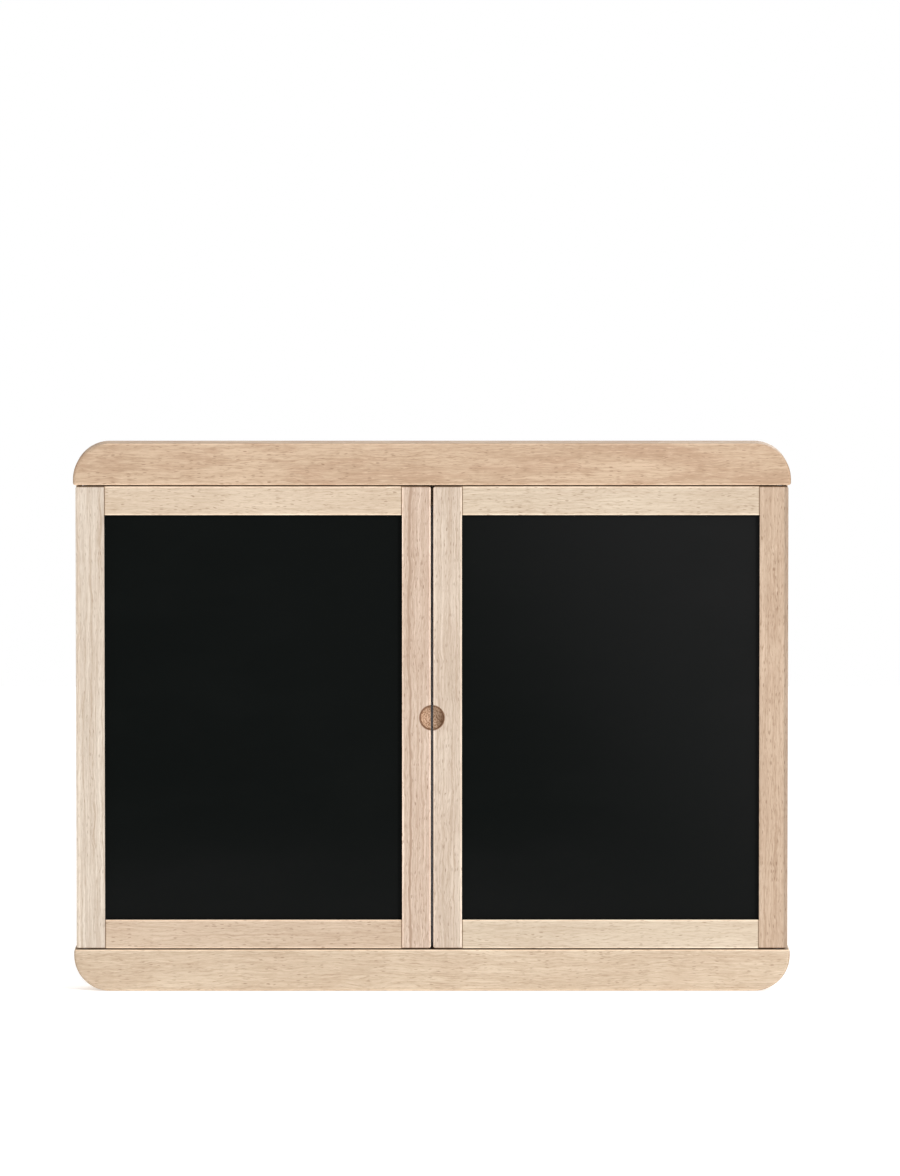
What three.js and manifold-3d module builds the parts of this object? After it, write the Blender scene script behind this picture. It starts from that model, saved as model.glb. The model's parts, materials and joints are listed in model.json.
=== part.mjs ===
// A children's two-door board: two thick rails with rounded ends, a magnetic whiteboard between
// them, and a pair of framed doors that turn on hidden pins in the rails. Each door is a
// blackboard in front and a whiteboard behind.
// Millimetres. X runs to the right, the front faces -Y, Z is up. The origin is the middle of the
// underside.

import * as THREE from 'three';
import { mergeVertices } from 'three/addons/utils/BufferGeometryUtils.js';
import Module from 'manifold-3d';

const wasm = await Module();
wasm.setup();

// Whole object
const WIDTH = 600;
const HEIGHT = 460;
const DEPTH = 40;

// Rails
const RAIL_HEIGHT = 35;
const RAIL_CORNER = 30;
const RAIL_INNER_CORNER = 2;

// Eased edges: generous outside, slight where one piece meets another
const RAIL_EASE = 2.5;
const DOOR_OUTER_EASE = 3;
const SLIGHT_EASE = 1;
const SQUARE_CORNER = 1.2;
const BEYOND = 12;

// Doors
const DOOR_THICKNESS = 18;
const DOOR_INSET = 2;
const DOOR_RAIL_GAP = 1;
const MEETING_GAP = 2;
const MEMBER_WIDTH = 24;
const PANEL_RECESS = 4;
const BLACKBOARD_THICKNESS = 3;
const DOOR_WHITEBOARD_THICKNESS = 2.7;
const DOOR_CORNER = 2;
const FINGER_RADIUS = 10;
const FINGER_DEPTH = 8;

// Pivots
const PIVOT_EDGE = 8;
const PIN_RADIUS = 2.5;
const PIN_IN_DOOR = 15;
const PIN_IN_RAIL = 11;
const BUSH_RADIUS = 4;
const BUSH_LENGTH = 13;
const BUSH_PLAY = 0.35;

// Rear frame and its boards
const REAR_STILE_WIDTH = 30;
const REAR_STILE_FRONT = 1.5;
const WHITEBOARD_FRONT = 8;
const WHITEBOARD_THICKNESS = 0.8;
const BACKING_THICKNESS = 3;

// Joints between fixed pieces
const TUCK = 6;
const CLEARANCE = 0.3;
const JOINT_GAP = 0.2;
const DOWEL_RADIUS = 3;
const DOWEL_CLEARANCE = 0.2;
const DOOR_DOWEL_IN_STILE = 10;
const DOOR_DOWEL_IN_RAIL = 16;
const FRAME_DOWEL_HALF = 18;
const FRAME_DOWEL_INSETS = [12, 23];
const FRAME_DOWEL_Y = 13;

// Magnetic catch under the top rail
const CATCH_WIDTH = 44;
const CATCH_HEIGHT = 18;
const CATCH_CORNER = 3;
const CATCH_FRONT_GAP = 0.7;
const MAGNET_X = 13;
const MAGNET_DROP = 9;
const MAGNET_RADIUS = 4;
const MAGNET_THICKNESS = 3;
const STRIKE_RADIUS = 5;
const STRIKE_THICKNESS = 1.2;
const CATCH_SCREW_X = 6;
const CATCH_SCREW_LENGTH = 28;

// Keyhole hangers in the back of the top rail
const HANGER_X = 210;
const HANGER_WIDTH = 40;
const HANGER_HEIGHT = 18;
const HANGER_CORNER = 3;
const HANGER_THICKNESS = 1.6;
const HANGER_SCREW_X = 15;
const HANGER_SCREW_LENGTH = 14;
const KEYHOLE_RADIUS = 4.5;
const KEYHOLE_SLOT = 2.2;
const KEYHOLE_DROP = 3;
const KEYHOLE_RISE = 5;
const KEYHOLE_POCKET_DEPTH = 6;

// Countersunk screws
const SCREW_HEAD_RADIUS = 3;
const SCREW_SHANK_RADIUS = 1.5;
const SCREW_HEAD_HEIGHT = 1.7;
const SCREW_RIM_HEIGHT = 0.25;
const SCREW_SLOT_WIDTH = 0.8;
const SCREW_SLOT_LENGTH = 3.3;
const SCREW_SLOT_DEPTH = 1;

// Roundness
const CORNER_STEP_LENGTH = 2.7;
const FEWEST_CORNER_STEPS = 3;
const EASE_STEPS = 3;
const ROUND_STEPS = 16;
const KEYHOLE_STEPS = 8;
const SCOOP_STEPS = 36;
const SCREW_STEPS = 12;

// Worked out from the sizes above
const FRONT = -DEPTH / 2;
const BACK = DEPTH / 2;
const TOP_RAIL_UNDERSIDE = HEIGHT - RAIL_HEIGHT;
const DOOR_BACK = FRONT + DOOR_THICKNESS;
const DOOR_MIDDLE = FRONT + DOOR_THICKNESS / 2;
const DOOR_LOW = RAIL_HEIGHT + DOOR_RAIL_GAP;
const DOOR_HIGH = TOP_RAIL_UNDERSIDE - DOOR_RAIL_GAP;
const DOOR_OUTER = WIDTH / 2 - DOOR_INSET;
const DOOR_INNER = MEETING_GAP / 2;
const PANE = {
  inner: DOOR_INNER + MEMBER_WIDTH,
  outer: DOOR_OUTER - MEMBER_WIDTH,
  low: DOOR_LOW + MEMBER_WIDTH,
  high: DOOR_HIGH - MEMBER_WIDTH,
};
const PIVOT_X = DOOR_OUTER - PIVOT_EDGE;
const PANEL_FRONT = FRONT + PANEL_RECESS;
const PANEL_SPLIT = PANEL_FRONT + BLACKBOARD_THICKNESS;
const PANEL_BACK = PANEL_SPLIT + CLEARANCE + DOOR_WHITEBOARD_THICKNESS;
const REAR_INNER = DOOR_OUTER - REAR_STILE_WIDTH;
const BACKING_FRONT = WHITEBOARD_FRONT + WHITEBOARD_THICKNESS + CLEARANCE;
const BACKING_BACK = BACKING_FRONT + BACKING_THICKNESS;
const CATCH_FRONT = DOOR_BACK + CATCH_FRONT_GAP;
const CATCH_BACK = WHITEBOARD_FRONT - 2 * CLEARANCE;
const CATCH_LOW = TOP_RAIL_UNDERSIDE - CATCH_HEIGHT;
const MAGNET_Z = TOP_RAIL_UNDERSIDE - MAGNET_DROP;
const HANGER_Z = HEIGHT - RAIL_HEIGHT / 2;
const HANGER_FRONT = BACK - HANGER_THICKNESS;

const SIDES = [{ side: 'left', sign: -1 }, { side: 'right', sign: 1 }];
const ENDS = [{ end: 'lower', up: -1 }, { end: 'upper', up: 1 }];

const board = new THREE.Group();

// --- solids -------------------------------------------------------------------------------------

function solidOf(geometry) {
  const bare = geometry.clone();
  bare.deleteAttribute('normal');
  bare.deleteAttribute('uv');
  const merged = mergeVertices(bare, 1e-4);
  return new wasm.Manifold(new wasm.Mesh({
    numProp: 3,
    vertProperties: new Float32Array(merged.attributes.position.array),
    triVerts: new Uint32Array(merged.index.array),
  }));
}

function geometryOf(solid) {
  const mesh = solid.getMesh();
  const positions = new Float32Array(mesh.vertProperties);
  const geometry = new THREE.BufferGeometry();
  geometry.setAttribute('position', new THREE.BufferAttribute(positions, 3));
  geometry.setIndex(new THREE.BufferAttribute(new Uint32Array(mesh.triVerts), 1));
  geometry.computeVertexNormals();
  return geometry;
}

// A box between two corners, each given as [x, y, z] in any order.
function block(a, b) {
  const size = a.map((value, axis) => Math.abs(b[axis] - value));
  const middle = a.map((value, axis) => (value + b[axis]) / 2);
  return solidOf(new THREE.BoxGeometry(...size).translate(...middle));
}

// Turns a shape made along +Y to a direction and moves it to its place.
function placed(geometry, place, direction) {
  const turn = new THREE.Quaternion().setFromUnitVectors(new THREE.Vector3(0, 1, 0), direction);
  return geometry.applyQuaternion(turn).translate(...place);
}

// A round bar between two points that differ along one axis.
function rod(radius, from, to) {
  const start = new THREE.Vector3(...from);
  const end = new THREE.Vector3(...to);
  const middle = start.clone().add(end).multiplyScalar(0.5);
  const bar = new THREE.CylinderGeometry(radius, radius, start.distanceTo(end), ROUND_STEPS);
  return solidOf(placed(bar, middle.toArray(), end.sub(start).normalize()));
}

function arcPoints(x, z, radius, start, end, steps) {
  return Array.from({ length: steps + 1 }, (_, step) => {
    const angle = start + ((end - start) * step) / steps;
    return new THREE.Vector2(x + radius * Math.cos(angle), z + radius * Math.sin(angle));
  });
}

// A quarter turn round a corner; big corners get more steps than small ones.
function cornerPoints(x, z, radius, start) {
  const quarter = Math.PI / 2;
  const steps = Math.max(FEWEST_CORNER_STEPS, Math.round((radius * quarter) / CORNER_STEP_LENGTH));
  return arcPoints(x, z, radius, start, start + quarter, steps);
}

function roundedOutline(left, right, low, high, lowCorner, highCorner = lowCorner) {
  return new THREE.Shape([
    ...cornerPoints(right - lowCorner, low + lowCorner, lowCorner, -Math.PI / 2),
    ...cornerPoints(right - highCorner, high - highCorner, highCorner, 0),
    ...cornerPoints(left + highCorner, high - highCorner, highCorner, Math.PI / 2),
    ...cornerPoints(left + lowCorner, low + lowCorner, lowCorner, Math.PI),
  ]);
}

// Extrudes an outline drawn in X and Z from the front to the back, with its edges eased.
function slab(outline, front, back, ease) {
  const geometry = new THREE.ExtrudeGeometry(outline, {
    depth: back - front - 2 * ease,
    bevelEnabled: ease > 0,
    bevelThickness: ease,
    bevelSize: ease,
    bevelOffset: -ease,
    bevelSegments: EASE_STEPS,
  });
  geometry.rotateX(Math.PI / 2);
  geometry.translate(0, back - ease, 0);
  return solidOf(geometry);
}

function without(solid, cutters) {
  return cutters.reduce((rest, cutter) => rest.subtract(cutter), solid);
}

// --- finishes -----------------------------------------------------------------------------------

const beech = () => new THREE.MeshStandardMaterial({ color: 0xdcc3a6, roughness: 0.62 });
const paleDowel = () => new THREE.MeshStandardMaterial({ color: 0xd9bb92, roughness: 0.75 });
const blackboard = () => new THREE.MeshStandardMaterial({ color: 0x141614, roughness: 0.85 });
const enamel = () => new THREE.MeshStandardMaterial({ color: 0xf4f5f3, roughness: 0.18 });
const hardboard = () => new THREE.MeshStandardMaterial({ color: 0x8a6a48, roughness: 0.85 });
const steel = () => new THREE.MeshStandardMaterial({ color: 0xb9bcc0, roughness: 0.35, metalness: 1 });
const nylon = () => new THREE.MeshStandardMaterial({ color: 0xe9e6dd, roughness: 0.5 });

function add(name, solid, material) {
  const mesh = new THREE.Mesh(geometryOf(solid), material);
  mesh.name = name;
  board.add(mesh);
}

// --- places that two pieces share ---------------------------------------------------------------

// The rail face that the door pivots and rear stiles meet: +1 is the top rail, -1 the bottom one.
const railFace = (up) => (up > 0 ? TOP_RAIL_UNDERSIDE : RAIL_HEIGHT);

function bushSeat(sign, up) {
  const face = railFace(up);
  return rod(
    BUSH_RADIUS + DOWEL_CLEARANCE,
    [sign * PIVOT_X, DOOR_MIDDLE, face - up * CLEARANCE],
    [sign * PIVOT_X, DOOR_MIDDLE, face + up * (BUSH_LENGTH + CLEARANCE)],
  );
}

function frameDowelBar(sign, up, inset, grow) {
  const face = railFace(up);
  const x = sign * (REAR_INNER + inset);
  return rod(
    DOWEL_RADIUS + grow,
    [x, FRAME_DOWEL_Y, face - FRAME_DOWEL_HALF - grow],
    [x, FRAME_DOWEL_Y, face + FRAME_DOWEL_HALF + grow],
  );
}

function frameDowelBores(up) {
  return SIDES.flatMap(({ sign }) => (
    FRAME_DOWEL_INSETS.map((inset) => frameDowelBar(sign, up, inset, DOWEL_CLEARANCE))
  ));
}

// The groove that holds the rear boards on all four sides.
function rearGroove() {
  const reach = REAR_INNER + TUCK + CLEARANCE;
  return block(
    [-reach, WHITEBOARD_FRONT - CLEARANCE, RAIL_HEIGHT - TUCK - CLEARANCE],
    [reach, BACKING_BACK + CLEARANCE, TOP_RAIL_UNDERSIDE + TUCK + CLEARANCE],
  );
}

// The groove that holds a door's two boards.
function doorGroove(sign) {
  const grow = TUCK + CLEARANCE;
  return block(
    [sign * (PANE.inner - grow), PANEL_FRONT - CLEARANCE, PANE.low - grow],
    [sign * (PANE.outer + grow), PANEL_BACK + CLEARANCE, PANE.high + grow],
  );
}

function doorDowelBar(sign, up, atOuter, grow) {
  const joint = atOuter ? PANE.outer : PANE.inner;
  const outward = atOuter ? 1 : -1;
  const z = up > 0 ? DOOR_HIGH - MEMBER_WIDTH / 2 : DOOR_LOW + MEMBER_WIDTH / 2;
  return rod(
    DOWEL_RADIUS + grow,
    [sign * (joint - outward * (DOOR_DOWEL_IN_RAIL + grow)), DOOR_MIDDLE, z],
    [sign * (joint + outward * (DOOR_DOWEL_IN_STILE + grow)), DOOR_MIDDLE, z],
  );
}

function pinBar(sign, up, grow) {
  const doorEnd = up > 0 ? DOOR_HIGH : DOOR_LOW;
  return rod(
    PIN_RADIUS + grow,
    [sign * PIVOT_X, DOOR_MIDDLE, doorEnd - up * (PIN_IN_DOOR + grow)],
    [sign * PIVOT_X, DOOR_MIDDLE, railFace(up) + up * PIN_IN_RAIL],
  );
}

// --- screws -------------------------------------------------------------------------------------

// Both outlines run along +Y from the outer face of the head, as [radius, distance].
function screwOutline(length) {
  return [
    [0, 0],
    [SCREW_HEAD_RADIUS, 0],
    [SCREW_HEAD_RADIUS, SCREW_RIM_HEIGHT],
    [SCREW_SHANK_RADIUS, SCREW_HEAD_HEIGHT],
    [SCREW_SHANK_RADIUS, length - 2 * SCREW_SHANK_RADIUS],
    [0, length],
  ];
}

function screwHoleOutline(length) {
  const head = SCREW_HEAD_RADIUS + DOWEL_CLEARANCE;
  const shank = SCREW_SHANK_RADIUS + DOWEL_CLEARANCE;
  return [
    [0, -1],
    [head, -1],
    [head, SCREW_RIM_HEIGHT + DOWEL_CLEARANCE],
    [shank, SCREW_HEAD_HEIGHT + DOWEL_CLEARANCE],
    [shank, length + DOWEL_CLEARANCE],
    [0, length + DOWEL_CLEARANCE],
  ];
}

function turned(outline) {
  const points = outline.map(([radius, along]) => new THREE.Vector2(radius, along));
  return new THREE.LatheGeometry(points, SCREW_STEPS);
}

// A screw's place is { length, at, direction }.
function hangerScrewPlace(sign, way) {
  return {
    length: HANGER_SCREW_LENGTH,
    at: [sign * HANGER_X + way * HANGER_SCREW_X, BACK - JOINT_GAP, HANGER_Z],
    direction: new THREE.Vector3(0, -1, 0),
  };
}

function catchScrewPlace(sign) {
  return {
    length: CATCH_SCREW_LENGTH,
    at: [sign * CATCH_SCREW_X, (CATCH_FRONT + CATCH_BACK) / 2, CATCH_LOW + JOINT_GAP],
    direction: new THREE.Vector3(0, 0, 1),
  };
}

// A countersunk screw with a cross slot.
function screw({ length, at, direction }) {
  const half = SCREW_SLOT_LENGTH / 2;
  const slots = [[half, SCREW_SLOT_WIDTH / 2], [SCREW_SLOT_WIDTH / 2, half]].map(([x, z]) => (
    block([-x, -1, -z], [x, SCREW_SLOT_DEPTH, z])
  ));
  const slotted = without(solidOf(turned(screwOutline(length))), slots);
  return solidOf(placed(geometryOf(slotted), at, direction));
}

function screwHole({ length, at, direction }) {
  return solidOf(placed(turned(screwHoleOutline(length)), at, direction));
}

// --- rails --------------------------------------------------------------------------------------

function hangerPockets(sign) {
  const x = sign * HANGER_X;
  const plate = slab(
    roundedOutline(
      x - HANGER_WIDTH / 2 - CLEARANCE,
      x + HANGER_WIDTH / 2 + CLEARANCE,
      HANGER_Z - HANGER_HEIGHT / 2 - CLEARANCE,
      HANGER_Z + HANGER_HEIGHT / 2 + CLEARANCE,
      HANGER_CORNER + CLEARANCE,
    ),
    HANGER_FRONT - CLEARANCE,
    BACK + BEYOND,
    0,
  );
  const reach = KEYHOLE_RADIUS + 1;
  const head = block(
    [x - reach, HANGER_FRONT - KEYHOLE_POCKET_DEPTH, HANGER_Z - KEYHOLE_DROP - reach],
    [x + reach, HANGER_FRONT, HANGER_Z + KEYHOLE_RISE + KEYHOLE_RADIUS],
  );
  const screws = [-1, 1].map((way) => screwHole(hangerScrewPlace(sign, way)));
  return [plate, head, ...screws];
}

// A rail's long edges next to the doors are eased only slightly, and all its others generously.
function railBar(up) {
  const ends = [-WIDTH / 2, WIDTH / 2];
  const outline = (past) => {
    const inner = RAIL_INNER_CORNER + past;
    return up > 0
      ? roundedOutline(...ends, TOP_RAIL_UNDERSIDE - past, HEIGHT, inner, RAIL_CORNER)
      : roundedOutline(...ends, 0, RAIL_HEIGHT + past, RAIL_CORNER, inner);
  };
  const slight = slab(outline(0), FRONT, BACK, SLIGHT_EASE);
  const generous = slab(outline(BEYOND), FRONT, BACK, RAIL_EASE);
  return slight.intersect(generous);
}

function rail(up) {
  const bar = railBar(up);
  const cutters = [rearGroove(), ...frameDowelBores(up)];
  for (const { sign } of SIDES) {
    cutters.push(bushSeat(sign, up));
    if (up > 0) {
      cutters.push(...hangerPockets(sign), screwHole(catchScrewPlace(sign)));
    }
  }
  return without(bar, cutters);
}

function addRails() {
  add('top_rail', rail(1), beech());
  add('bottom_rail', rail(-1), beech());
}

// --- rear frame ---------------------------------------------------------------------------------

function rearStile(sign) {
  const centre = sign * (REAR_INNER + REAR_STILE_WIDTH / 2);
  const outline = roundedOutline(
    centre - REAR_STILE_WIDTH / 2,
    centre + REAR_STILE_WIDTH / 2,
    RAIL_HEIGHT + JOINT_GAP,
    TOP_RAIL_UNDERSIDE - JOINT_GAP,
    SQUARE_CORNER,
  );
  const bar = slab(outline, REAR_STILE_FRONT, BACK, SLIGHT_EASE);
  const bores = ENDS.flatMap(({ up }) => frameDowelBores(up));
  return without(bar, [rearGroove(), ...bores]);
}

function rearBoard(front, back) {
  const reach = REAR_INNER + TUCK;
  return block([-reach, front, RAIL_HEIGHT - TUCK], [reach, back, TOP_RAIL_UNDERSIDE + TUCK]);
}

function addRearFrame() {
  for (const { side, sign } of SIDES) {
    add(`rear_stile_${side}`, rearStile(sign), beech());
    for (const { end, up } of ENDS) {
      FRAME_DOWEL_INSETS.forEach((inset, index) => {
        add(`frame_dowel_${side}_${end}_${index + 1}`, frameDowelBar(sign, up, inset, 0), paleDowel());
      });
    }
  }
  const whiteboardBack = WHITEBOARD_FRONT + WHITEBOARD_THICKNESS;
  add('inner_whiteboard', rearBoard(WHITEBOARD_FRONT, whiteboardBack), enamel());
  add('backing_board', rearBoard(BACKING_FRONT, BACKING_BACK), hardboard());
}

// --- doors --------------------------------------------------------------------------------------

// The whole door frame as one eased slab; its four members are cut from it. Only the long outer
// edge, on the pivots' side, is eased generously.
function doorSlab(sign) {
  const outline = (past) => {
    const edges = [sign * (DOOR_INNER - past), sign * DOOR_OUTER];
    return roundedOutline(
      Math.min(...edges),
      Math.max(...edges),
      DOOR_LOW - past,
      DOOR_HIGH + past,
      DOOR_CORNER + past,
    );
  };
  const slight = slab(outline(0), FRONT, DOOR_BACK, SLIGHT_EASE);
  const generous = slab(outline(BEYOND), FRONT, DOOR_BACK, DOOR_OUTER_EASE);
  return slight.intersect(generous);
}

// A round scoop half in each meeting stile, for a finger.
function fingerScoop() {
  const radius = (FINGER_RADIUS ** 2 + FINGER_DEPTH ** 2) / (2 * FINGER_DEPTH);
  const ball = new THREE.SphereGeometry(radius, SCOOP_STEPS, SCOOP_STEPS / 2);
  ball.translate(0, FRONT + FINGER_DEPTH - radius, HEIGHT / 2);
  return solidOf(ball);
}

function strikeDisc(sign, grow) {
  return rod(
    STRIKE_RADIUS + grow,
    [sign * MAGNET_X, DOOR_BACK - STRIKE_THICKNESS - grow, MAGNET_Z],
    [sign * MAGNET_X, DOOR_BACK + grow, MAGNET_Z],
  );
}

function doorMember(sign, low, high) {
  const bores = ENDS.flatMap(({ up }) => [
    doorDowelBar(sign, up, true, DOWEL_CLEARANCE),
    doorDowelBar(sign, up, false, DOWEL_CLEARANCE),
    pinBar(sign, up, DOWEL_CLEARANCE),
  ]);
  const region = block(low, high);
  const cutters = [doorGroove(sign), fingerScoop(), strikeDisc(sign, DOWEL_CLEARANCE), ...bores];
  return without(doorSlab(sign).intersect(region), cutters);
}

function addDoorFrame(side, sign) {
  const stile = (from, to) => doorMember(
    sign,
    [sign * from, FRONT - BEYOND, DOOR_LOW - BEYOND],
    [sign * to, DOOR_BACK + BEYOND, DOOR_HIGH + BEYOND],
  );
  const crossRail = (from, to) => doorMember(
    sign,
    [sign * (PANE.inner + JOINT_GAP), FRONT - BEYOND, from],
    [sign * (PANE.outer - JOINT_GAP), DOOR_BACK + BEYOND, to],
  );
  add(`door_${side}_outer_stile`, stile(PANE.outer, DOOR_OUTER + BEYOND), beech());
  add(`door_${side}_inner_stile`, stile(DOOR_INNER - BEYOND, PANE.inner), beech());
  add(`door_${side}_top_rail`, crossRail(PANE.high, DOOR_HIGH + BEYOND), beech());
  add(`door_${side}_bottom_rail`, crossRail(DOOR_LOW - BEYOND, PANE.low), beech());
}

function doorBoard(sign, front, back) {
  return block(
    [sign * (PANE.inner - TUCK), front, PANE.low - TUCK],
    [sign * (PANE.outer + TUCK), back, PANE.high + TUCK],
  );
}

function addDoor(side, sign) {
  addDoorFrame(side, sign);
  add(`door_${side}_blackboard`, doorBoard(sign, PANEL_FRONT, PANEL_SPLIT), blackboard());
  add(`door_${side}_whiteboard`, doorBoard(sign, PANEL_SPLIT + CLEARANCE, PANEL_BACK), enamel());
  add(`door_${side}_strike`, strikeDisc(sign, 0), steel());
  for (const { end, up } of ENDS) {
    add(`door_${side}_dowel_${end}_outer`, doorDowelBar(sign, up, true, 0), paleDowel());
    add(`door_${side}_dowel_${end}_inner`, doorDowelBar(sign, up, false, 0), paleDowel());
    add(`door_${side}_pin_${end}`, pinBar(sign, up, 0), steel());
  }
}

// --- pivot bushes, catch and hangers ------------------------------------------------------------

// A blind nylon bush: a cup that opens towards the door.
function pivotBush(sign, up) {
  const face = railFace(up);
  const at = (radius, from, to) => rod(
    radius,
    [sign * PIVOT_X, DOOR_MIDDLE, face + up * from],
    [sign * PIVOT_X, DOOR_MIDDLE, face + up * to],
  );
  const cup = at(BUSH_RADIUS, 0, BUSH_LENGTH);
  return cup.subtract(at(PIN_RADIUS + BUSH_PLAY, -1, PIN_IN_RAIL + BUSH_PLAY));
}

function magnetDisc(sign, grow) {
  return rod(
    MAGNET_RADIUS + grow,
    [sign * MAGNET_X, CATCH_FRONT - grow, MAGNET_Z],
    [sign * MAGNET_X, CATCH_FRONT + MAGNET_THICKNESS + grow, MAGNET_Z],
  );
}

function addCatch() {
  const outline = roundedOutline(
    -CATCH_WIDTH / 2,
    CATCH_WIDTH / 2,
    CATCH_LOW,
    TOP_RAIL_UNDERSIDE - JOINT_GAP,
    CATCH_CORNER,
    SQUARE_CORNER,
  );
  const blank = slab(outline, CATCH_FRONT, CATCH_BACK, SLIGHT_EASE);
  const cutters = SIDES.flatMap(({ sign }) => [
    magnetDisc(sign, DOWEL_CLEARANCE),
    screwHole(catchScrewPlace(sign)),
  ]);
  add('catch_block', without(blank, cutters), beech());
  for (const { side, sign } of SIDES) {
    add(`catch_magnet_${side}`, magnetDisc(sign, 0), steel());
    add(`catch_screw_${side}`, screw(catchScrewPlace(sign)), steel());
  }
}

function keyhole(x) {
  const low = HANGER_Z - KEYHOLE_DROP;
  const high = HANGER_Z + KEYHOLE_RISE;
  const meet = Math.asin(KEYHOLE_SLOT / KEYHOLE_RADIUS);
  return new THREE.Path([
    ...arcPoints(x, low, KEYHOLE_RADIUS, Math.PI / 2 + meet, 2.5 * Math.PI - meet, 2 * KEYHOLE_STEPS),
    ...arcPoints(x, high, KEYHOLE_SLOT, 0, Math.PI, KEYHOLE_STEPS),
  ]);
}

function hangerPlate(sign) {
  const x = sign * HANGER_X;
  const outline = roundedOutline(
    x - HANGER_WIDTH / 2,
    x + HANGER_WIDTH / 2,
    HANGER_Z - HANGER_HEIGHT / 2,
    HANGER_Z + HANGER_HEIGHT / 2,
    HANGER_CORNER,
  );
  outline.holes.push(keyhole(x));
  const plate = slab(outline, HANGER_FRONT, BACK, 0);
  return without(plate, [-1, 1].map((way) => screwHole(hangerScrewPlace(sign, way))));
}

function addHangers() {
  for (const { side, sign } of SIDES) {
    add(`hanger_plate_${side}`, hangerPlate(sign), steel());
    [-1, 1].forEach((way, index) => {
      add(`hanger_screw_${side}_${index + 1}`, screw(hangerScrewPlace(sign, way)), steel());
    });
  }
}

function addPivotBushes() {
  for (const { side, sign } of SIDES) {
    for (const { end, up } of ENDS) {
      add(`pivot_bush_${side}_${end}`, pivotBush(sign, up), nylon());
    }
  }
}

addRails();
addRearFrame();
addPivotBushes();
addCatch();
addHangers();
for (const { side, sign } of SIDES) {
  addDoor(side, sign);
}

export default board;
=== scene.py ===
import json
import math
from collections import namedtuple

import bmesh
import bpy
from mathutils import Matrix, Vector


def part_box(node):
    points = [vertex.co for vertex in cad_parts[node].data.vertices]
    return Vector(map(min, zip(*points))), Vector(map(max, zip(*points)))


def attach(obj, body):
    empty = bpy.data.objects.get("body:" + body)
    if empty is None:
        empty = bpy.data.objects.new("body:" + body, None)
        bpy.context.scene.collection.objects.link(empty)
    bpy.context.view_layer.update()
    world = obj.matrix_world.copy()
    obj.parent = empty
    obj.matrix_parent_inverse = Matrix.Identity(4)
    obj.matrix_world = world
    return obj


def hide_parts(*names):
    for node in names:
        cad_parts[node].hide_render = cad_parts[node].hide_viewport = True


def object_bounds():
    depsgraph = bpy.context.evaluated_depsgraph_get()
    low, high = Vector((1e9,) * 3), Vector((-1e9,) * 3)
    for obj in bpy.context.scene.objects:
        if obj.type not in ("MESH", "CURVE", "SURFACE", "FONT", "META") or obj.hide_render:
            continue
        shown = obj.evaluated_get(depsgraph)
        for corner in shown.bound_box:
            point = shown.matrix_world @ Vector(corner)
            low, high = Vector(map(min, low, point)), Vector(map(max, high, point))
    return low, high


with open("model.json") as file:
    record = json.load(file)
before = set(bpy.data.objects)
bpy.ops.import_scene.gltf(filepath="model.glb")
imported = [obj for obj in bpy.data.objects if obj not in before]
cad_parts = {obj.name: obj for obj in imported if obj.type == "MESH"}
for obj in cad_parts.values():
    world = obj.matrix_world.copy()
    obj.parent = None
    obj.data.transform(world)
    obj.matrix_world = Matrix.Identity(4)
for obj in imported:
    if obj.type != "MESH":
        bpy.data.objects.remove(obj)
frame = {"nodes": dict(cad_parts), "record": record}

# A children's two-door board in oiled beech, with matte blackboards in the doors and a glossy
# magnetic whiteboard behind them. Metres; the front faces -Y.

CAD_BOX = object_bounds()
NODES = frame["nodes"]
SIDES = ("left", "right")
X, Y, Z = range(3)

# Camera: a long lens a little above the board, as a catalogue picture is taken
CAMERA_DISTANCE = 9.0
CAMERA_ELEVATION = math.radians(5.0)
CAMERA_LENS = 328.5
CAMERA_RANGE = (0.1, 500.0)
AIM_RIGHT = 0.0151
AIM_ABOVE = 0.1074

# The room: paler overhead than underfoot, with plain white behind everything. The light changes
# from low to high while a direction's rise goes from one of ROOM_RISE to the other
ROOM_LOW = 0.3
ROOM_HIGH = 0.78
ROOM_RISE = (-0.1, 0.8)

# A softbox to the right of the camera, and two wide suns on the left edge and on the back
KEY_AZIMUTH = math.radians(42)
KEY_ELEVATION = math.radians(20)
KEY_DISTANCE = 8.0
KEY_SIZE = 2.0
KEY_POWER = 455.0
SUNS = {
    "left_edge": {"towards": (-1.0, 0.1, 0.09), "strength": 0.9, "width": math.radians(24)},
    "back_fill": {"towards": (0.4, 1.0, 0.3), "strength": 1.1, "width": math.radians(40)},
}

# The floor is a lit white table
FLOOR_WHITE = 0.9
FLOOR_GLOW = 0.4
FLOOR_REACH = 3.0

# What a front face receives, as a share of a plain white world: colours are divided by it
FRONT_LIGHT = 1.35

# Edges softened on the CAD pieces: the bevel's width and its segments
WELD = 2e-6
EDGE_ANGLE = math.radians(32)
FLAT_FACE_WEIGHT = 90
WOOD_EDGE = (0.0004, 3)
BOARD_EDGE = (0.0002, 2)
SMALL_EDGE = (0.00015, 2)


# --- node materials -------------------------------------------------------------------------------

def linear(red, green, blue):
    """A colour given in 8-bit screen values, as the linear albedo that shows it in this light."""
    def straight(value):
        value /= 255.0
        return value / 12.92 if value <= 0.04045 else ((value + 0.055) / 1.055) ** 2.4
    return tuple(straight(value) / FRONT_LIGHT for value in (red, green, blue))


def times(colour, *factors):
    """The colour scaled by one factor, or by one for each channel."""
    factors = factors * 3 if len(factors) == 1 else factors
    return tuple(channel * factor for channel, factor in zip(colour, factors))


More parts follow.
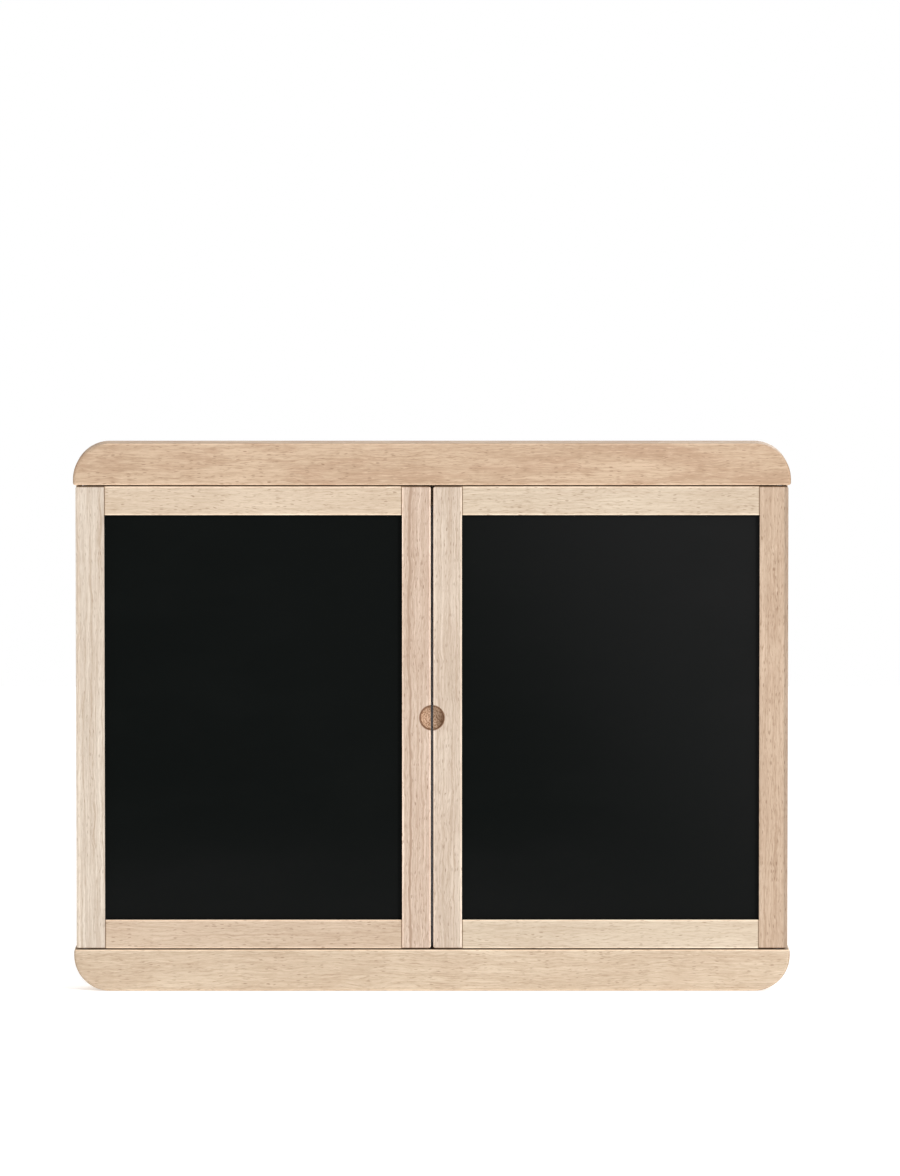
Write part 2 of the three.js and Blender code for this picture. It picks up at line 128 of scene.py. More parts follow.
class Skin:
    """A principled material being built, with short calls for the nodes that are used here.

    x, y and z are the point on the piece, in metres."""

    def __init__(self, name):
        self.material = bpy.data.materials.new(name)
        self.material.use_nodes = True
        self.tree = self.material.node_tree
        self.tree.nodes.clear()
        self.surface = self.node("ShaderNodeBsdfPrincipled")
        output = self.node("ShaderNodeOutputMaterial")
        self.tree.links.new(self.surface.outputs["BSDF"], output.inputs["Surface"])
        self.place = self.node("ShaderNodeTexCoord")
        self.x, self.y, self.z = self.parts(self.place.outputs["Object"])

    def node(self, kind, **settings):
        node = self.tree.nodes.new(kind)
        for key, value in settings.items():
            setattr(node, key, value)
        return node

    def feed(self, socket, value):
        if isinstance(value, bpy.types.NodeSocket):
            self.tree.links.new(value, socket)
        elif isinstance(value, tuple) and socket.type == "RGBA":
            socket.default_value = (*value[:3], 1.0)
        else:
            socket.default_value = value

    def set(self, **values):
        """Sets the surface's own sockets: Coat_Weight=0.4 feeds Coat Weight."""
        for key, value in values.items():
            self.feed(self.surface.inputs[key.replace("_", " ")], value)

    def math(self, operation, *values):
        node = self.node("ShaderNodeMath", operation=operation)
        for socket, value in zip(node.inputs, values):
            self.feed(socket, value)
        return node.outputs[0]

    def product(self, *values):
        return self.math("MULTIPLY", *values)

    def added(self, value, factor, base):
        """base plus factor times value."""
        return self.math("MULTIPLY_ADD", value, factor, base)

    def minus(self, value, less):
        return self.math("SUBTRACT", value, less)

    def apart(self, value, place):
        """How far the value is from a place, whichever side it is on."""
        return self.math("ABSOLUTE", self.minus(value, place))

    def vector(self, x, y, z):
        node = self.node("ShaderNodeCombineXYZ")
        for socket, value in zip(node.inputs, (x, y, z)):
            self.feed(socket, value)
        return node.outputs[0]

    def parts(self, vector):
        node = self.node("ShaderNodeSeparateXYZ")
        self.feed(node.inputs[0], vector)
        return node.outputs[0], node.outputs[1], node.outputs[2]

    def scaled(self, *sizes):
        """The point in a space whose unit is one size, or one for each axis."""
        sizes = sizes * 3 if len(sizes) == 1 else sizes
        point = zip((self.x, self.y, self.z), sizes)
        return self.vector(*(self.math("DIVIDE", part, size) for part, size in point))

    def on_board(self, width, height, shift):
        """The point on an upright board, in units of width and height, shifted sideways."""
        across = self.added(self.x, 1 / width, shift)
        return self.vector(across, self.y, self.math("DIVIDE", self.z, height))

    def noise(self, vector, detail=2.0, roughness=0.5):
        """Fractal noise, from 0 to 1, about one bump for each unit of the vector."""
        node = self.node("ShaderNodeTexNoise")
        self.feed(node.inputs["Vector"], vector)
        node.inputs["Scale"].default_value = 1.0
        node.inputs["Detail"].default_value = detail
        node.inputs["Roughness"].default_value = roughness
        return node.outputs["Fac"]

    def cells(self, vector):
        """(distance to the nearest cell point, that cell's random value)."""
        node = self.node("ShaderNodeTexVoronoi", feature="F1")
        self.feed(node.inputs["Vector"], vector)
        node.inputs["Scale"].default_value = 1.0
        chance = self.parts(node.outputs["Color"])[0]
        return node.outputs["Distance"], chance

    def ramp(self, value, low, high):
        """0 below low and 1 above high, smoothly; low may be the larger one."""
        node = self.node("ShaderNodeMapRange", interpolation_type="SMOOTHSTEP")
        flip = low > high
        start, stop = (high, low) if flip else (low, high)
        sockets = node.inputs
        self.feed(sockets["Value"], value)
        sockets["From Min"].default_value = start
        sockets["From Max"].default_value = stop
        sockets["To Min"].default_value = 1.0 if flip else 0.0
        sockets["To Max"].default_value = 0.0 if flip else 1.0
        return node.outputs["Result"]

    def mix(self, factor, a, b, blend="MIX"):
        node = self.node("ShaderNodeMix", data_type="RGBA", blend_type=blend)
        self.feed(node.inputs["Factor"], factor)
        self.feed(node.inputs[6], a)
        self.feed(node.inputs[7], b)
        return node.outputs[2]

    def over(self, tone, mask, strength, colour, blend="MIX"):
        """The tone, with a colour laid over it where the mask is."""
        return self.mix(self.product(mask, strength), tone, colour, blend)

    def bump(self, height, depth, strength=1.0):
        node = self.node("ShaderNodeBump")
        node.inputs["Strength"].default_value = strength
        node.inputs["Distance"].default_value = depth
        self.feed(node.inputs["Height"], height)
        self.feed(self.surface.inputs["Normal"], node.outputs["Normal"])


# --- beech ----------------------------------------------------------------------------------------

# Every wooden piece: the axis that its fibres run along, its colour on the screen, where the log's
# middle lies from the piece's middle (across the face, into the depth), how strong its streaks,
# flecks and patches are, and how far the growth rings taper along it
Wood = namedtuple("Wood", "grain colour pith streaks flecks patches taper")
BEECH_PIECES = {
    "top_rail": Wood("X", (218, 191, 164), (0.012, 0.038), 1, 1.25, 1.1, 0.03),
    "bottom_rail": Wood("X", (227, 207, 183), (-0.006, 0.045), 0.9, 1.1, 0.4, 0.035),
    "door_left_outer_stile": Wood("Z", (232, 219, 204), (0.09, 0.01), 2, 0.9, 0.3, 0.004),
    "door_left_inner_stile": Wood("Z", (225, 203, 185), (0.075, 0.02), 1.7, 1.5, 0.5, 0.008),
    "door_left_top_rail": Wood("X", (228, 208, 185), (0.004, 0.05), 0.6, 1.25, 0.3, 0.02),
    "door_left_bottom_rail": Wood("X", (222, 200, 177), (-0.015, 0.034), 0.9, 1.1, 0.3, 0.03),
    "door_right_inner_stile": Wood("Z", (226, 209, 192), (-0.085, 0.012), 1.7, 1.1, 0.35, 0.006),
    "door_right_outer_stile": Wood("Z", (212, 187, 164), (-0.05, 0.026), 1.4, 1.4, 0.4, 0.012),
    "door_right_top_rail": Wood("X", (224, 206, 184), (0.02, 0.042), 0.6, 1.25, 0.3, 0.02),
    "door_right_bottom_rail": Wood("X", (227, 210, 188), (-0.01, 0.05), 0.55, 1, 0.2, 0.018),
    "rear_stile_left": Wood("Z", (217, 193, 166), (0.03, -0.04), 1.0, 0.9, 0.4, 0.02),
    "rear_stile_right": Wood("Z", (221, 198, 170), (-0.04, -0.03), 0.8, 0.9, 0.4, 0.015),
    "catch_block": Wood("X", (214, 188, 158), (0.0, 0.05), 1.0, 1.0, 0.4, 0.02),
}
FIRST_SEED = 3.1
SEED_STEP = 2.37
SEED_SHIFT = 1.7

# The figure's noises: length along the grain, width across it, where the noise is read, and its
# detail and roughness; the pores are cells, which have no detail
Figure = namedtuple("Figure", "length width shift detail roughness", defaults=(2.0, 0.5))
FIGURES = {
    "sway": Figure(0.16, 0.05, 0.0),
    "ripple": Figure(0.022, 0.009, 5.0),
    "band": Figure(0.11, 0.0042, 1.0, 3.0, 0.6),
    "streak": Figure(0.2, 0.0019, 2.0, 4.0, 0.72),
    "cloud": Figure(0.09, 0.035, 3.0, 3.0),
    "fibre": Figure(0.03, 0.0009, 4.0, 3.0, 0.7),
    "crowd": Figure(0.04, 0.016, 9.0),
    "fleck": Figure(0.0085, 0.0009, 11.0, 3.0, 0.66),
    "pore": Figure(0.0065, 0.001, 23.0),
    "speck": Figure(0.0015, 0.0011, 31.0, 1.0, 0.6),
    "patch": Figure(0.075, 0.02, 41.0, 3.0, 0.6),
}
NOISE_MIDDLE = 0.5
RING_SPACING = 0.0026
RING_SWAY = 0.011
RING_RIPPLE = 0.0022
FIBRE_SWAY = 0.008
FIBRE_RIPPLE = 0.005
FLECK_CROWDING = 0.1
END_PORE_SIZE = 0.0007

# The wood's roughness, how much the fibres add to it, and its relief: fibres stand up, dashes and
# late wood lie lower
WOOD_ROUGHNESS = 0.5
FIBRE_ROUGHNESS = 0.16
FIBRE_RELIEF = 0.6
DASH_RELIEF = -0.7
LATE_RELIEF = -0.35
WOOD_RELIEF = (0.00012, 0.55)

# The ground, and the layers of tone over it in order: how strong a layer is, which of the piece's
# own values it grows with, and its factors on red, green and blue
PALE_GROUND = (1.1, 1.1, 1.09)
DARK_GROUND = (0.98, 0.95, 0.92)
Layer = namedtuple("Layer", "strength grows_with factors")
LAYERS = {
    "patch": Layer(0.9, "patches", (0.84, 0.75, 0.7)),
    "band": Layer(0.42, "streaks", (0.86, 0.82, 0.78)),
    "late_wood": Layer(0.3, None, (0.84, 0.78, 0.72)),
    "dark_streak": Layer(0.6, "streaks", (0.76, 0.68, 0.61)),
    "pale_streak": Layer(0.5, "streaks", (1.22, 1.22, 1.22)),
    "dark_fibre": Layer(0.65, None, (0.76, 0.69, 0.62)),
    "pale_fibre": Layer(0.4, None, (1.2, 1.2, 1.2)),
    "shine": Layer(0.5, "flecks", (1.2, 1.21, 1.22)),
    "dash": Layer(0.6, "flecks", (0.68, 0.6, 0.53)),
    "pore": Layer(0.7, "flecks", (0.52, 0.43, 0.36)),
}

# Strength and factors of the tones that depend on the piece's shape
END_GRAIN = (0.9, (0.76, 0.69, 0.61))
END_PORES = (0.8, (0.66, 0.58, 0.5))
END_RINGS = (0.6, (0.74, 0.66, 0.58))
MINERAL = (0.7, (0.6, 0.5, 0.42))
# Painted highlight along the arrises
ARRIS_HIGHLIGHT = (1.0, (1.42, 1.43, 1.44))
GAP_FACE = (0.85, (0.55, 0.47, 0.39))
# Dark joint lines at the ends of the door pieces, with painted shade in their gaps to the frame
JOINT_AND_GAP_SHADE = (0.85, (0.42, 0.33, 0.25))
# Painted highlight and painted shade on the outer edges of the doors
EDGE_LIGHT_AND_SHADE_STRENGTH = 0.9

# Where those tones start and where they are full: from an edge, an end, or a streak's middle
ARRIS_HIGHLIGHT_BAND = (0.0018, 0.0005)
EDGE_LIGHT_AND_SHADE_BAND = (0.0042, 0.0026)
JOINT_AND_GAP_SHADE_BAND = (0.001, 0.0004)
MINERAL_BAND = (0.0017, 0.0004)

# A dark mineral line, at this place across the piece
MINERAL_STREAKS = {"door_left_inner_stile": -0.0055}

# A painted highlight on the left outer edge and painted shade on the right one, as the photo shows: its
# side across the grain, and its factor
EDGE_LIGHT_AND_SHADE = {
    "door_left_outer_stile": (-1, 1.22),
    "door_right_outer_stile": (1, 0.7),
}

# Faces that lie in a gap, and which way they face across the grain. They are made darker than the
# light alone would make them, so that the gaps read as dark as in the photo
GAP_FACES = {
    "top_rail": -1,
    "bottom_rail": 1,
    "door_left_inner_stile": 1,
    "door_right_inner_stile": -1,
}

# The ball that the finger scoop is cut with, its round rim, and the skin of wood that it darkens
SCOOP_RADIUS = 0.01025
SCOOP_DEPTH = 0.008
SCOOP_BAND = 0.0004
SCOOP_RIM = 0.01
SCOOP_PALE = (1.02, 0.86, 0.73)
SCOOP_BROWN = (0.44, 0.3, 0.19)
# Painted shade in the scoop: its colour, its strength over the right side and where that starts and is
# full, and its strength round the rim near the front
SCOOP_SHADE_COLOUR = (0.27, 0.15, 0.08)
SCOOP_SIDE_SHADE = 0.6
SCOOP_SIDE_SHADE_START = 0.0045
SCOOP_SIDE_SHADE_FULL = 0.0095
SCOOP_RIM_SHADE = 0.85
SCOOP_RIM_BAND = (0.0011, 0.0005)
SCOOP_RIM_BACK = 0.005
SCOOP_RIM_FRONT = 0.004


def scoop_centre():
    """The middle of the ball: between the two doors, at the height of the scoop's opening."""
    for opening in frame["record"]["physics"]["openings"]:
        if opening["name"] == "finger_scoop_left":
            low, high = opening["box_m"]
    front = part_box("door_left_inner_stile")[0].y
    return (0.0, front + SCOOP_DEPTH - SCOOP_RADIUS, (low[2] + high[2]) / 2)


class Beech(Skin):
    """Beech cut from a log: growth rings round a pith, ray flecks, fibres and darker end grain."""

    def __init__(self, node, wood, seed):
        super().__init__(f"beech_{node}")
        low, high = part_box(node)
        self.piece, self.wood, self.seed = node, wood, seed
        self.colour = linear(*wood.colour)
        middle, self.half = (low + high) / 2, (high - low) / 2
        point = (self.x, self.y, self.z)
        self.along_axis, self.across_axis = (X, Z) if wood.grain == "X" else (Z, X)
        self.normal = self.parts(self.place.outputs["Normal"])
        self.from_middle = self.apart(point[self.along_axis], middle[self.along_axis])
        self.across = self.minus(point[self.across_axis], middle[self.across_axis])
        self.depth = self.minus(self.y, middle.y)
        self.along = self.math("ADD", point[self.along_axis], seed * SEED_SHIFT)
        self.bend = self.across
        self.tone = None

    def build(self):
        self.find_rings()
        self.find_grain()
        self.lay_grain()
        self.lay_end_grain()
        self.lay_streak_and_edges()
        if "inner_stile" in self.piece:
            self.lay_scoop()
        self.finish()
        return self.material

    def figure(self, name, bent=False):
        figure = FIGURES[name]
        return self.noise(self.stretched(figure, bent), figure.detail, figure.roughness)

    def stretched(self, figure, bent=False):
        """The point in a space whose unit is the figure's length along the grain and its width."""
        return self.vector(
            self.added(self.along, 1 / figure.length, figure.shift + self.seed),
            self.math("DIVIDE", self.bend if bent else self.across, figure.width),
            self.math("DIVIDE", self.depth, figure.width),
        )

    def find_rings(self):
        """Growth rings, pulled about slowly along the board, and fibres that follow them."""
        sway = self.minus(self.figure("sway"), NOISE_MIDDLE)
        ripple = self.minus(self.figure("ripple"), NOISE_MIDDLE)
        ring_x = self.minus(self.across, self.wood.pith[0])
        ring_y = self.minus(self.depth, self.wood.pith[1])
        square = self.math("ADD", self.product(ring_x, ring_x), self.product(ring_y, ring_y))
        radius = self.added(self.along, self.wood.taper, self.math("SQRT", square))
        radius = self.added(sway, RING_SWAY, radius)
        radius = self.added(ripple, RING_RIPPLE, radius)
        year = self.math("FRACT", self.math("DIVIDE", radius, RING_SPACING))
        self.late = self.product(self.ramp(year, 0.45, 0.92), self.ramp(year, 1.0, 0.93))
        bend = self.added(sway, FIBRE_SWAY, self.across)
        self.bend = self.added(ripple, FIBRE_RIPPLE, bend)

    def find_grain(self):
        """Bands, streaks and fibres that run the whole length, and short dark and pale flecks."""
        self.band = self.figure("band", bent=True)
        self.fibre = self.figure("fibre", bent=True)
        streak = self.figure("streak", bent=True)
        patch = self.figure("patch", bent=True)
        fleck = self.figure("fleck", bent=True)
        crowded = self.added(self.figure("crowd"), FLECK_CROWDING, fleck)
        reach, chance = self.cells(self.stretched(FIGURES["pore"], bent=True))
        self.dash = self.ramp(crowded, 0.57, 0.74)
        self.masks = {
            "patch": self.ramp(patch, 0.44, 0.62),
            "band": self.ramp(self.band, 0.4, 0.7),
            "late_wood": self.late,
            "dark_streak": self.ramp(streak, 0.5, 0.68),
            "pale_streak": self.ramp(streak, 0.46, 0.3),
            "dark_fibre": self.ramp(self.fibre, 0.48, 0.72),
            "pale_fibre": self.ramp(self.fibre, 0.46, 0.3),
            "shine": self.ramp(fleck, 0.46, 0.28),
            "dash": self.dash,
            "pore": self.product(self.ramp(reach, 0.34, 0.16), self.ramp(chance, 0.66, 0.8)),
        }

    def lay_grain(self):
        cloud = self.ramp(self.figure("cloud"), 0.3, 0.7)
        self.tone = self.mix(cloud, times(self.colour, *PALE_GROUND), times(self.colour, *DARK_GROUND))
        for name, layer in LAYERS.items():
            growth = getattr(self.wood, layer.grows_with) if layer.grows_with else 1
            colour = times(self.colour, *layer.factors)
            self.tone = self.over(self.tone, self.masks[name], layer.strength * growth, colour)

    def shade(self, mask, strength, factors):
        """Multiplies the tone by the factors where the mask is."""
        self.tone = self.over(self.tone, mask, strength, factors, "MULTIPLY")

    def lay_end_grain(self):
        end = self.ramp(self.math("ABSOLUTE", self.normal[self.along_axis]), 0.45, 0.95)
        across = self.math("DIVIDE", self.across, END_PORE_SIZE)
        depth = self.math("DIVIDE", self.depth, END_PORE_SIZE)
        pore = self.noise(self.vector(self.along, across, depth), 2.0, 0.6)
        self.shade(end, *END_GRAIN)
        self.shade(self.product(end, self.ramp(pore, 0.5, 0.72)), *END_PORES)
        self.shade(self.product(end, self.late), *END_RINGS)

    def lay_streak_and_edges(self):
        half_width = self.half[self.across_axis]
        if self.piece in MINERAL_STREAKS:
            near = self.ramp(self.apart(self.bend, MINERAL_STREAKS[self.piece]), *MINERAL_BAND)
            broken = self.product(near, self.ramp(self.band, 0.25, 0.45))
            strength, factors = MINERAL
            self.tone = self.over(self.tone, broken, strength, times(self.colour, *factors))
        # Painted highlight on the left door's outer edge and painted shade on the right door's outer
        # edge
        if self.piece in EDGE_LIGHT_AND_SHADE:
            way, factor = EDGE_LIGHT_AND_SHADE[self.piece]
            sideways = self.product(self.across, way)
            start, full = (half_width - inset for inset in EDGE_LIGHT_AND_SHADE_BAND)
            painted_edge = self.ramp(sideways, start, full)
            self.shade(painted_edge, EDGE_LIGHT_AND_SHADE_STRENGTH, (factor, factor, factor))
        else:
            # Painted highlight along the long arrises of the piece
            inside = self.math("SUBTRACT", half_width, self.math("ABSOLUTE", self.across))
            below = self.math("SUBTRACT", self.half.y, self.math("ABSOLUTE", self.depth))
            self.shade(self.ramp(self.math("MAXIMUM", inside, below), *ARRIS_HIGHLIGHT_BAND), *ARRIS_HIGHLIGHT)
        towards_gap = self.product(self.normal[self.across_axis], GAP_FACES.get(self.piece, 0))
        self.shade(self.ramp(towards_gap, 0.8, 0.95), *GAP_FACE)
        # Darker at both ends of each door piece: dark joint lines where the pieces meet, and painted
        # shade along the gaps to the frame rails
        if self.piece.startswith("door"):
            to_end = self.math("SUBTRACT", self.half[self.along_axis], self.from_middle)
            self.shade(self.ramp(to_end, *JOINT_AND_GAP_SHADE_BAND), *JOINT_AND_GAP_SHADE)

    def lay_scoop(self):
        """The bowl of the scoop cuts across the fibres: darker and speckled, with painted shade over
        its right side and round its rim.
        """
        centre = scoop_centre()
        span = self.node("ShaderNodeVectorMath", operation="LENGTH")
        self.feed(span.inputs[0], self.vector(self.x, 0.0, self.minus(self.z, centre[2])))
        reach = self.node("ShaderNodeVectorMath", operation="DISTANCE")
        self.feed(reach.inputs[0], self.place.outputs["Object"])
        reach.inputs[1].default_value = centre
        beyond = self.minus(reach.outputs["Value"], SCOOP_RADIUS)
        off_rim = self.apart(span.outputs["Value"], SCOOP_RIM)
        pale, brown, scoop_shade = (times(self.colour, *f) for f in (SCOOP_PALE, SCOOP_BROWN, SCOOP_SHADE_COLOUR))
        cut = self.mix(self.ramp(self.figure("speck"), 0.42, 0.62), pale, brown)
        # Painted shade over the right side of the bowl
        cut = self.over(cut, self.ramp(self.x, SCOOP_SIDE_SHADE_START, SCOOP_SIDE_SHADE_FULL), SCOOP_SIDE_SHADE, scoop_shade)
        tone = self.mix(self.ramp(beyond, SCOOP_BAND, SCOOP_BAND / 2), self.tone, cut)
        # Painted shade round the rim, near the front
        near_front = self.ramp(self.y, centre[1] + SCOOP_RIM_BACK, centre[1] + SCOOP_RIM_FRONT)
        rim = self.product(self.ramp(off_rim, *SCOOP_RIM_BAND), near_front)
        self.tone = self.over(tone, rim, SCOOP_RIM_SHADE, scoop_shade)

    def finish(self):
        rough = self.added(self.fibre, FIBRE_ROUGHNESS, WOOD_ROUGHNESS)
        self.set(Base_Color=self.tone, Roughness=rough, IOR=1.45, Specular_IOR_Level=0.3)
        height = self.added(self.dash, DASH_RELIEF, self.product(self.fibre, FIBRE_RELIEF))
        height = self.added(self.late, LATE_RELIEF, height)
        self.bump(height, *WOOD_RELIEF)


def dress_beech():
    for number, (node, wood) in enumerate(BEECH_PIECES.items()):
        assign(node, Beech(node, wood, FIRST_SEED + SEED_STEP * number).build())


# --- boards ---------------------------------------------------------------------------------------

BLACKBOARD = (0.0016, 0.0024, 0.0021)
WHITEBOARD = (0.8, 0.81, 0.805)
HARDBOARD = (150, 116, 82)
PRESS_SCREEN = 0.0016

# Painted light from the floor along the bottom edge up to this height, and a painted sheen of the key
# light towards the upper right corner, strongest on the right board
FLOOR_LIGHT_RISE = 0.11
CHALK_BOARDS = {"left": {"seed": 1.0, "key_sheen": 0.12}, "right": {"seed": 31.0, "key_sheen": 1.0}}


def chalk_coat(name, node, seed, key_sheen):
    """Matte chalkboard paint: fine tooth, wiped patches and chalk specks, with a painted sheen towards
    the upper right and painted light from the floor along the bottom.
    """
    skin = Skin(name)
    low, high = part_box(node)
    middle, size = (low + high) / 2, high - low
    wiped = skin.noise(skin.on_board(0.16, 0.07, seed), 4.0, 0.55)
    tooth = skin.noise(skin.on_board(0.0009, 0.0009, seed + 8), 2.0, 0.7)
    reach, chance = skin.cells(skin.on_board(0.009, 0.009, seed + 12))
    drift = skin.added(skin.minus(wiped, 0.5), 0.12, skin.z)
    across = skin.math("DIVIDE", skin.minus(skin.x, middle.x), size.x)
    rise = skin.math("DIVIDE", skin.minus(drift, middle.z), size.z)
    corner = skin.ramp(skin.math("ADD", across, rise), -0.7, 0.95)
    floor_light = skin.ramp(drift, low.z + FLOOR_LIGHT_RISE, low.z)
    speck = skin.product(skin.ramp(reach, 0.09, 0.03), skin.ramp(chance, 0.86, 0.9))

    def chalky(*factors):
        return times(BLACKBOARD, *factors)

    # Painted sheen of the key light, paler towards the upper right corner
    tone = skin.over(BLACKBOARD, corner, key_sheen, chalky(5.8, 3.9, 4.5))
    # Painted light from the floor, paler along the bottom edge
    tone = skin.over(tone, floor_light, 0.75, chalky(3.5, 2.5, 2.8))
    tone = skin.over(tone, skin.ramp(wiped, 0.42, 0.7), 0.3, chalky(2.6, 2.1, 2.2))
    tone = skin.over(tone, skin.ramp(tooth, 0.5, 0.8), 0.3, chalky(3.5))
    tone = skin.over(tone, speck, 0.4, chalky(7.0, 5.0, 4.6))
    skin.set(Base_Color=tone, Roughness=0.5, Specular_IOR_Level=0.045)
    skin.bump(tooth, 0.00006, 0.6)
    return skin.material


def writing_enamel(name, seed):
    """White enamel: glossy, with the slight orange peel of a sprayed coat and faint wiped marks."""
    skin = Skin(name)
    peel = skin.noise(skin.on_board(0.004, 0.004, seed), 2.0)
    wiped = skin.noise(skin.on_board(0.09, 0.09, seed + 3), 4.0, 0.6)
    white = times(WHITEBOARD, 1 / FRONT_LIGHT)
    tone = skin.mix(skin.ramp(wiped, 0.4, 0.75), white, times(white, 0.965, 0.97, 0.985))
    rough = skin.added(skin.ramp(wiped, 0.35, 0.8), 0.12, 0.14)
    skin.set(Base_Color=tone, Roughness=rough, Coat_Weight=0.4, Coat_Roughness=0.06)
    skin.bump(peel, 0.00004, 0.35)
    return skin.material


def pressed_fibre(name):
    """Hardboard: matted brown fibres with the screen pattern of the press."""
    skin = Skin(name)
    colour = linear(*HARDBOARD)
    mat = skin.noise(skin.on_board(0.0045, 0.0013, 2.0), 4.0, 0.7)
    cross = skin.noise(skin.on_board(0.0013, 0.0045, 7.0), 4.0, 0.7)
    cloud = skin.noise(skin.on_board(0.06, 0.06, 11.0), 3.0)
    scuff = skin.noise(skin.on_board(0.012, 0.016, 19.0), 3.0, 0.6)
    warp = skin.product(skin.minus(cloud, 0.5), 2.0)
    mesh = [
        skin.math("SINE", skin.added(part, 2 * math.pi / PRESS_SCREEN, warp))
        for part in (skin.x, skin.z)
    ]
    screen = skin.product(*mesh)

    def brown(*factors):
        return times(colour, *factors)

    tone = skin.mix(skin.ramp(mat, 0.32, 0.7), brown(1.22), brown(0.62, 0.6, 0.58))
    tone = skin.over(tone, skin.ramp(cross, 0.52, 0.72), 0.6, brown(0.46, 0.42, 0.4))
    tone = skin.over(tone, skin.ramp(cross, 0.42, 0.3), 0.45, brown(1.5, 1.42, 1.3))
    tone = skin.over(tone, skin.ramp(scuff, 0.52, 0.72), 0.4, brown(0.8, 0.76, 0.72))
    tone = skin.over(tone, skin.ramp(cloud, 0.4, 0.65), 0.35, brown(1.28, 1.2, 1.1))
    tone = skin.over(tone, skin.ramp(screen, 0.1, 0.9), 0.25, brown(0.6))
    skin.set(Base_Color=tone, Roughness=0.82, Specular_IOR_Level=0.25)
    height = skin.added(screen, 0.5, skin.product(mat, 0.5))
    skin.bump(height, 0.00018, 0.6)
    return skin.material


def dress_boards():
    for side, chalk in CHALK_BOARDS.items():
        node = f"door_{side}_blackboard"
        assign(node, chalk_coat(f"chalk_coat_{side}", node, **chalk))
    whiteboards = ("inner_whiteboard", "door_left_whiteboard", "door_right_whiteboard")
    for number, node in enumerate(whiteboards):
        assign(node, writing_enamel(f"writing_enamel_{node}", 2.0 + 9.0 * number))
    assign("backing_board", pressed_fibre("pressed_fibre"))


# --- small pieces ---------------------------------------------------------------------------------

# The bevel on the small pieces' own edges
PIECE_EDGE = 0.00006
PIECE_EDGE_ANGLE = math.radians(35)

# A countersunk screw; each recess level is a share of its outline and a share of its depth
SCREW_HEAD_EASE = 0.00012
SCREW_HEAD_RIM = 0.00025
SCREW_HEAD_DEPTH = 0.0017
SCREW_SHANK = 0.0015
RECESS_WIDTH = 0.0004
RECESS_REACH = 0.0016
RECESS_DEPTH = 0.001
RECESS_LEVELS = ((0.45, 1.0), (0.82, 0.8), (1.0, 0.0))
THREAD_DEPTH = 0.0003
THREAD_PITCH = 0.0012
THREAD_RUN_IN = 0.001
THREAD_SHARPNESS = 3.2
RINGS_PER_TURN = 8
POINT_LENGTH = 0.003
POINT_RADIUS = 0.00004
POINT_MARGIN = 0.0002

# A pot magnet: the cup's wall, the groove inside it, and the eased rims
ROUND_COUNT = 64
CUP_WALL = 0.0006
CUP_EDGE = 0.0001
GROOVE_WIDTH = 0.0003
GROOVE_DEPTH = 0.0004
MAGNET_CENTRE = 0.0004
MAGNET_EASE = 0.00015
CUP_EASE = 0.0002

# A strike: its centre mark, and the rings that the lathe leaves
MARK_DEPTH = 0.0004
MARK_RADIUS = 0.0005
MARK_POINT = 0.0001
LATHE_MARKS = 9
LATHE_START = 0.0009
LATHE_MARGIN = 0.0016
LATHE_DEPTH = 0.00003
STRIKE_EASE = 0.00025
STRIKE_BACK_EASE = 0.0001

# Plated and turned metals, and their drawn lines
ZINC = (0.6, 0.62, 0.65)
YELLOWED_ZINC = (0.62, 0.6, 0.52)
STEEL = (0.56, 0.56, 0.57)
NICKEL = (0.66, 0.63, 0.58)
LINES_ACROSS = (0.0003, 0.004, 0.0003)
LINES_ALONG_X = (0.004, 0.0003, 0.0003)
BLOTCH_SIZE = 0.003

NYLON_PALE = (0.72, 0.7, 0.62)
NYLON_DARK = (0.62, 0.6, 0.52)
NYLON_GRAIN = 0.0012
DOWEL_COLOUR = (212, 184, 146)
DOWEL_GRAIN = 0.0008


def loft(name, rings, place):
    """A closed skin through rings of points, which all have the same count; place is a matrix."""
    mesh = bmesh.new()
    rows = [[mesh.verts.new(place @ Vector(point)) for point in ring] for ring in rings]
    count = len(rows[0])
    for near, far in zip(rows, rows[1:]):
        for i in range(count):
            j = (i + 1) % count
            mesh.faces.new((near[i], near[j], far[j], far[i]))
    mesh.faces.new(rows[0][::-1])
    mesh.faces.new(rows[-1])
    bmesh.ops.recalc_face_normals(mesh, faces=mesh.faces)
    data = bpy.data.meshes.new(name)
    mesh.to_mesh(data)
    mesh.free()
    piece = bpy.data.objects.new(name, data)
    bpy.context.scene.collection.objects.link(piece)
    return piece


def circle(angles, radius, depth):
    return [(radius * math.cos(a), radius * math.sin(a), depth) for a in angles]


def even_angles(count):
    return [2 * math.pi * i / count for i in range(count)]


def round_over(angles, radius, ease, steps):
    """Rings round a disc's rim, from its flat face to its side."""
    rings = []
    for i in range(steps + 1):
        turn = math.pi / 2 * i / steps
        inset, depth = ease * (1 - math.sin(turn)), ease * (1 - math.cos(turn))
        rings.append(circle(angles, radius - inset, depth))
    return rings


def facing(at, outwards):
    """A matrix that puts a piece's face at a point, with its body behind the face."""
    turn = Vector(outwards).to_track_quat("Z", "Y").to_matrix().to_4x4()
    return Matrix.Translation(at) @ turn @ Matrix.Scale(-1, 4, (0, 0, 1))


def smooth(piece):
    piece.data.polygons.foreach_set("use_smooth", [True] * len(piece.data.polygons))


def finish_piece(piece, node, body, material):
    piece.data.materials.append(material)
    smooth(piece)
    edges = piece.modifiers.new("eased_edges", "BEVEL")
    edges.width = PIECE_EDGE
    edges.segments = 2
    edges.limit_method = "ANGLE"
    edges.angle_limit = PIECE_EDGE_ANGLE
    normals = piece.modifiers.new("flat_faces", "WEIGHTED_NORMAL")
    normals.keep_sharp = True
    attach(piece, body)
    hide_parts(node)


